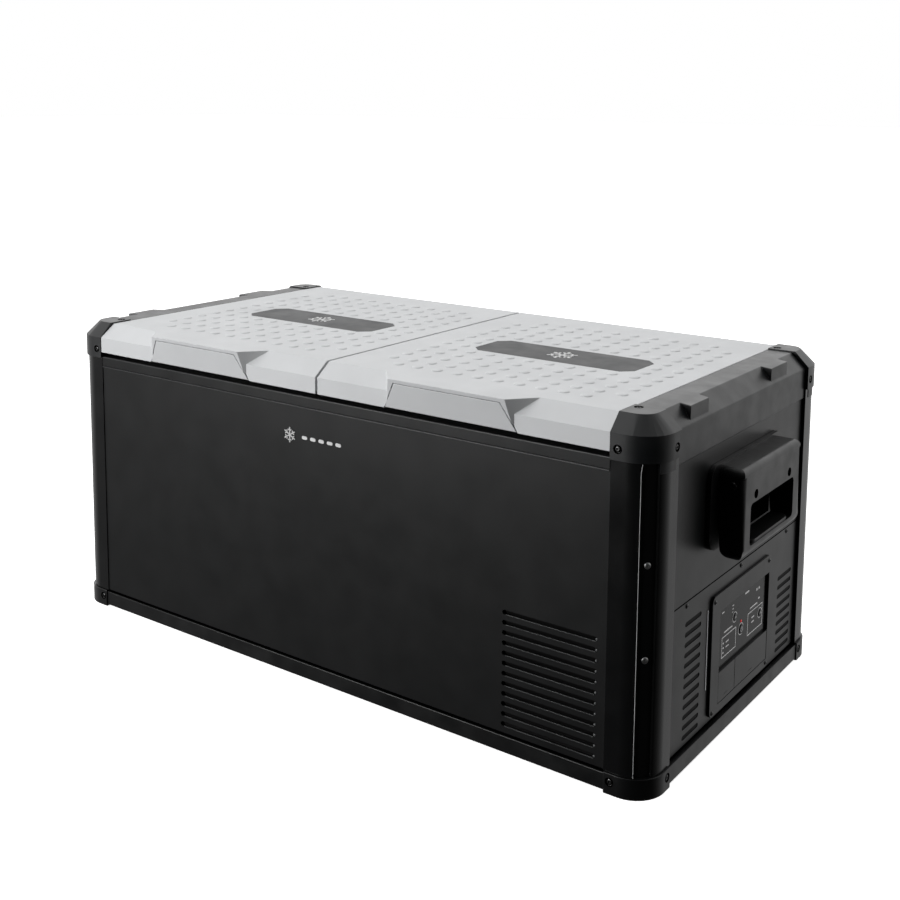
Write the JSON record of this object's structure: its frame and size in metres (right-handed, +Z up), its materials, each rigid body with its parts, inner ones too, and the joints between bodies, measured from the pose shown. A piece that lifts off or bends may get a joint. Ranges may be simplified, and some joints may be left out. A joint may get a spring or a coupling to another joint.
{
  "type": "compressor cooler fridge",
  "caption": "Twin-zone chest cooler with two rear-hinged lids, latch flaps, end handles, a compressor unit, side vents and a control module on one end.",
  "frame": {"origin": "centre of the footprint, on the surface the feet stand on", "axes": "+X along the length towards the control end, -Y the front where the latch flaps are, +Z up"},
  "size_m": [1, 0.508, 0.4225],
  "materials": {
    "gloss_black": "satin",
    "sheet_black": "satin",
    "charcoal": "fine grain",
    "lid_grey": "fine grain",
    "liner_white": "smooth",
    "rubber": "matte",
    "plate_grey": "fine grain",
    "foam": "rigid foam",
    "wire_white": "coated wire",
    "steel": "plain",
    "aluminium": "plain",
    "copper": "drawn tube",
    "compressor_black": "gloss",
    "board_green": "lacquered",
    "display_gloss": "gloss"
  },
  "bodies": {
    "cabinet": {"corner_post_front_right": "gloss_black", "foot_bracket_front_right": "gloss_black", "corner_cap_front_right": "charcoal", "corner_post_front_left": "gloss_black", "foot_bracket_front_left": "gloss_black", "corner_cap_front_left": "charcoal", "corner_post_rear_right": "gloss_black", "foot_bracket_rear_right": "gloss_black", "corner_cap_rear_right": "charcoal", "corner_post_rear_left": "gloss_black", "foot_bracket_rear_left": "gloss_black", "corner_cap_rear_left": "charcoal", "bottom_rail_front": "gloss_black", "bottom_rail_rear": "gloss_black", "bottom_rail_right": "gloss_black", "bottom_rail_left": "gloss_black", "base_pan": "steel", "front_panel": "sheet_black", "rear_panel": "sheet_black", "end_panel_upper_right": "gloss_black", "end_panel_lower_right": "gloss_black", "end_panel_left": "gloss_black", "end_cap_right": "charcoal", "end_cap_left": "charcoal", "tub_left": "liner_white", "tub_right": "liner_white", "top_rim": "charcoal", "foam_insulation": "foam", "basket_left": "wire_white", "basket_right": "wire_white", "compressor": "compressor_black", "compressor_mount": "rubber", "condenser": "aluminium", "fan_shroud": "gloss_black", "control_board": "board_green", "refrigerant_pipe": "copper", "control_bezel": "gloss_black", "display_panel": "display_gloss", "dc_inlet": "gloss_black", "ac_inlet": "gloss_black", "handle_right": "gloss_black", "handle_left": "gloss_black", "lid_hinge_left": "steel", "lid_hinge_right": "steel"},
    "lid_left": {"lid_shell_left": "lid_grey", "lid_liner_left": "liner_white", "lid_gasket_left": "rubber", "lid_plate_left": "plate_grey"},
    "lid_right": {"lid_shell_right": "lid_grey", "lid_liner_right": "liner_white", "lid_gasket_right": "rubber", "lid_plate_right": "plate_grey"},
    "latch_left": {"latch_flap_left": "lid_grey"},
    "latch_right": {"latch_flap_right": "lid_grey"},
    "fan": {"fan_rotor": "gloss_black"},
    "power_key": {"power_button": "charcoal"},
    "left_zone_key": {"left_zone_button": "charcoal"},
    "right_zone_key": {"right_zone_button": "charcoal"},
    "dc_cover": {"socket_cover_dc": "gloss_black"},
    "ac_cover": {"socket_cover_ac": "gloss_black"}
  },
  "joints": [
    {"name": "lid_left_open", "type": "hinge", "parent": "cabinet", "child": "lid_left", "pos_m": [-0.2074, 0.249, 0.382], "axis": [-1, 0, 0], "range_deg": [0, 95]},
    {"name": "lid_right_open", "type": "hinge", "parent": "cabinet", "child": "lid_right", "pos_m": [0.2074, 0.249, 0.382], "axis": [-1, 0, 0], "range_deg": [0, 95]},
    {"name": "latch_left_swing", "type": "hinge", "parent": "lid_left", "child": "latch_left", "pos_m": [-0.2119, -0.25279, 0.4155], "axis": [-1, 0, 0], "range_deg": [0, 25], "stiffness_Nm_per_rad": 0.3, "springref_deg": -8.59},
    {"name": "latch_right_swing", "type": "hinge", "parent": "lid_right", "child": "latch_right", "pos_m": [0.2029, -0.25279, 0.4155], "axis": [-1, 0, 0], "range_deg": [0, 25], "stiffness_Nm_per_rad": 0.3, "springref_deg": -8.59},
    {"name": "fan_spin", "type": "hinge", "parent": "cabinet", "child": "fan", "pos_m": [0.356, 0.119, 0.092], "axis": [0, 1, 0], "continuous": true},
    {"name": "power_press", "type": "slide", "parent": "cabinet", "child": "power_key", "axis": [-1, 0, 0], "range_m": [0, 0.0012], "stiffness_N_per_m": 400, "springref_m": -0.0004},
    {"name": "left_zone_press", "type": "slide", "parent": "cabinet", "child": "left_zone_key", "axis": [-1, 0, 0], "range_m": [0, 0.0012], "stiffness_N_per_m": 400, "springref_m": -0.0004},
    {"name": "right_zone_press", "type": "slide", "parent": "cabinet", "child": "right_zone_key", "axis": [-1, 0, 0], "range_m": [0, 0.0012], "stiffness_N_per_m": 400, "springref_m": -0.0004},
    {"name": "dc_cover_swing", "type": "hinge", "parent": "cabinet", "child": "dc_cover", "pos_m": [0.4658, -0.0605, 0.0605], "axis": [0, 0, -1], "range_deg": [0, 90]},
    {"name": "ac_cover_swing", "type": "hinge", "parent": "cabinet", "child": "ac_cover", "pos_m": [0.4658, 0.0885, 0.0605], "axis": [0, 0, 1], "range_deg": [0, 90]}
  ]
}
